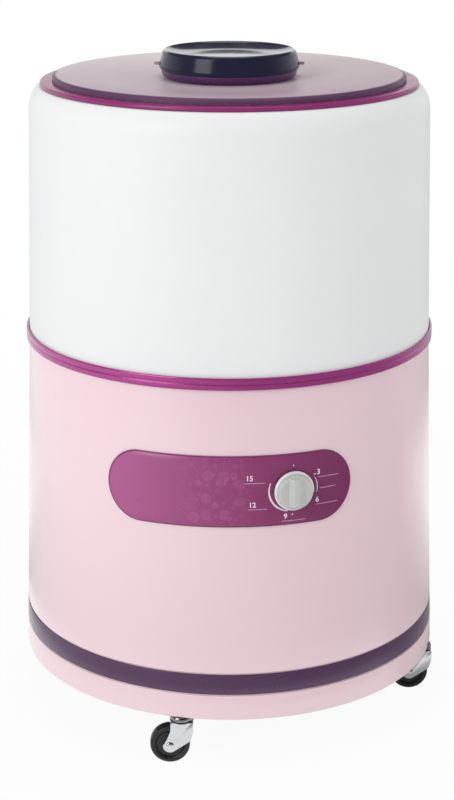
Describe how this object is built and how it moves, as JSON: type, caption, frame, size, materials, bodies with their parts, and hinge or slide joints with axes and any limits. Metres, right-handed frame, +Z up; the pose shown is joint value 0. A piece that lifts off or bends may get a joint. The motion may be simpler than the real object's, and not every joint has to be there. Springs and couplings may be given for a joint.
{
  "type": "single tub washing machine",
  "caption": "Round top-loading washing machine: white tub with a lift-off lid on a pink skirt with a curved control plate, timer knob and swivel casters.",
  "frame": {"origin": "on the floor under the tub's axis", "axes": "+Z up along the tub's axis; -Y out of the front, where the control plate is; +X to the right of someone facing the machine"},
  "size_m": [0.5778, 0.5832, 0.8936],
  "materials": {
    "white_plastic": "satin moulded white plastic",
    "pink_plastic": "satin moulded pale pink plastic",
    "purple_plastic": "satin purple band",
    "magenta_plastic": "glossy magenta plastic",
    "smoked_plastic": "polished smoked mauve plastic",
    "dark_purple_plastic": "glossy dark purple plastic",
    "navy_plastic": "polished navy plastic",
    "plate_plastic": "printed magenta overlay",
    "grey_plastic": "silver-grey plastic",
    "black_plastic": "matte black plastic",
    "blue_grey_plastic": "matte blue-grey polypropylene",
    "black_rubber": "black rubber",
    "zinc_steel": "zinc-plated steel",
    "dark_steel": "dark plated steel",
    "cast_alloy": "as-cast aluminium",
    "dark_paint": "dark grey paint",
    "caster_chrome": "bright plated steel",
    "caster_rubber": "black caster tread"
  },
  "bodies": {
    "machine": {"tub": "white_plastic", "skirt": "pink_plastic", "stripe_band": "purple_plastic", "belt_trim": "magenta_plastic", "base_frame": "black_plastic", "control_plate": "plate_plastic", "timer_body": "black_plastic", "shaft_seal": "black_rubber", "drive_bracket": "zinc_steel", "gearbox_housing": "cast_alloy", "drive_belt": "black_rubber", "motor_body": "dark_paint", "capacitor": "zinc_steel", "capacitor_clip": "black_plastic", "drain_pipe": "black_plastic", "drain_strainer": "grey_plastic", "cord_gland": "black_plastic", "front_caster_stem": "dark_steel", "right_caster_stem": "dark_steel", "back_caster_stem": "dark_steel", "left_caster_stem": "dark_steel"},
    "lid": {"lid_rim": "magenta_plastic", "lid_panel": "smoked_plastic", "lid_handle_collar": "dark_purple_plastic", "lid_handle_ring": "navy_plastic", "lid_handle_screw": "zinc_steel"},
    "timer": {"timer_knob": "grey_plastic", "timer_shaft": "zinc_steel"},
    "agitator_set": {"agitator": "blue_grey_plastic", "agitator_cap": "blue_grey_plastic", "agitator_bolt": "zinc_steel", "agitator_shaft": "zinc_steel"},
    "gearbox_input": {"driven_pulley": "cast_alloy"},
    "motor_rotor": {"motor_shaft": "zinc_steel", "motor_pulley": "cast_alloy"},
    "front_swivel": {"front_caster_fork": "caster_chrome", "front_caster_axle": "caster_chrome"},
    "front_wheel": {"front_caster_wheel": "caster_rubber"},
    "right_swivel": {"right_caster_fork": "caster_chrome", "right_caster_axle": "caster_chrome"},
    "right_wheel": {"right_caster_wheel": "caster_rubber"},
    "back_swivel": {"back_caster_fork": "caster_chrome", "back_caster_axle": "caster_chrome"},
    "back_wheel": {"back_caster_wheel": "caster_rubber"},
    "left_swivel": {"left_caster_fork": "caster_chrome", "left_caster_axle": "caster_chrome"},
    "left_wheel": {"left_caster_wheel": "caster_rubber"}
  },
  "joints": [
    {"name": "lid_lift", "type": "slide", "parent": "machine", "child": "lid", "axis": [0, 0, 1], "range_m": [0, 0.35]},
    {"name": "timer_turn", "type": "hinge", "parent": "machine", "child": "timer", "pos_m": [0.08046, -0.26819, 0.379], "axis": [-0.2874, 0.9578, 0], "range_deg": [0, 290]},
    {"name": "agitator_swing", "type": "hinge", "parent": "machine", "child": "agitator_set", "pos_m": [0, 0, 0.35], "axis": [0, 0, 1], "range_deg": [-105, 105]},
    {"name": "gearbox_input_turn", "type": "hinge", "parent": "machine", "child": "gearbox_input", "pos_m": [0, 0, 0.2264], "axis": [0, 0, 1], "continuous": true},
    {"name": "motor_turn", "type": "hinge", "parent": "machine", "child": "motor_rotor", "pos_m": [-0.1299, -0.075, 0.2264], "axis": [0, 0, 1], "continuous": true},
    {"name": "front_caster_swivel", "type": "hinge", "parent": "machine", "child": "front_swivel", "pos_m": [-0.06231, -0.2699, 0.058], "axis": [0, 0, 1], "continuous": true},
    {"name": "front_caster_roll", "type": "hinge", "parent": "front_swivel", "child": "front_wheel", "pos_m": [-0.07761, -0.2699, 0.0263], "axis": [0, 1, 0], "continuous": true},
    {"name": "right_caster_swivel", "type": "hinge", "parent": "machine", "child": "right_swivel", "pos_m": [0.27095, -0.05759, 0.058], "axis": [0, 0, 1], "continuous": true},
    {"name": "right_caster_roll", "type": "hinge", "parent": "right_swivel", "child": "right_wheel", "pos_m": [0.25565, -0.05759, 0.0263], "axis": [0, 1, 0], "continuous": true},
    {"name": "back_caster_swivel", "type": "hinge", "parent": "machine", "child": "back_swivel", "pos_m": [0.06231, 0.2699, 0.058], "axis": [0, 0, 1], "continuous": true},
    {"name": "back_caster_roll", "type": "hinge", "parent": "back_swivel", "child": "back_wheel", "pos_m": [0.04701, 0.2699, 0.0263], "axis": [0, 1, 0], "continuous": true},
    {"name": "left_caster_swivel", "type": "hinge", "parent": "machine", "child": "left_swivel", "pos_m": [-0.27095, 0.05759, 0.058], "axis": [0, 0, 1], "continuous": true},
    {"name": "left_caster_roll", "type": "hinge", "parent": "left_swivel", "child": "left_wheel", "pos_m": [-0.25565, 0.05759, 0.0263], "axis": [0, 1, 0], "continuous": true}
  ],
  "couplings": [
    {"joint": "motor_turn", "follows": "gearbox_input_turn", "ratio": 4.0909}
  ]
}
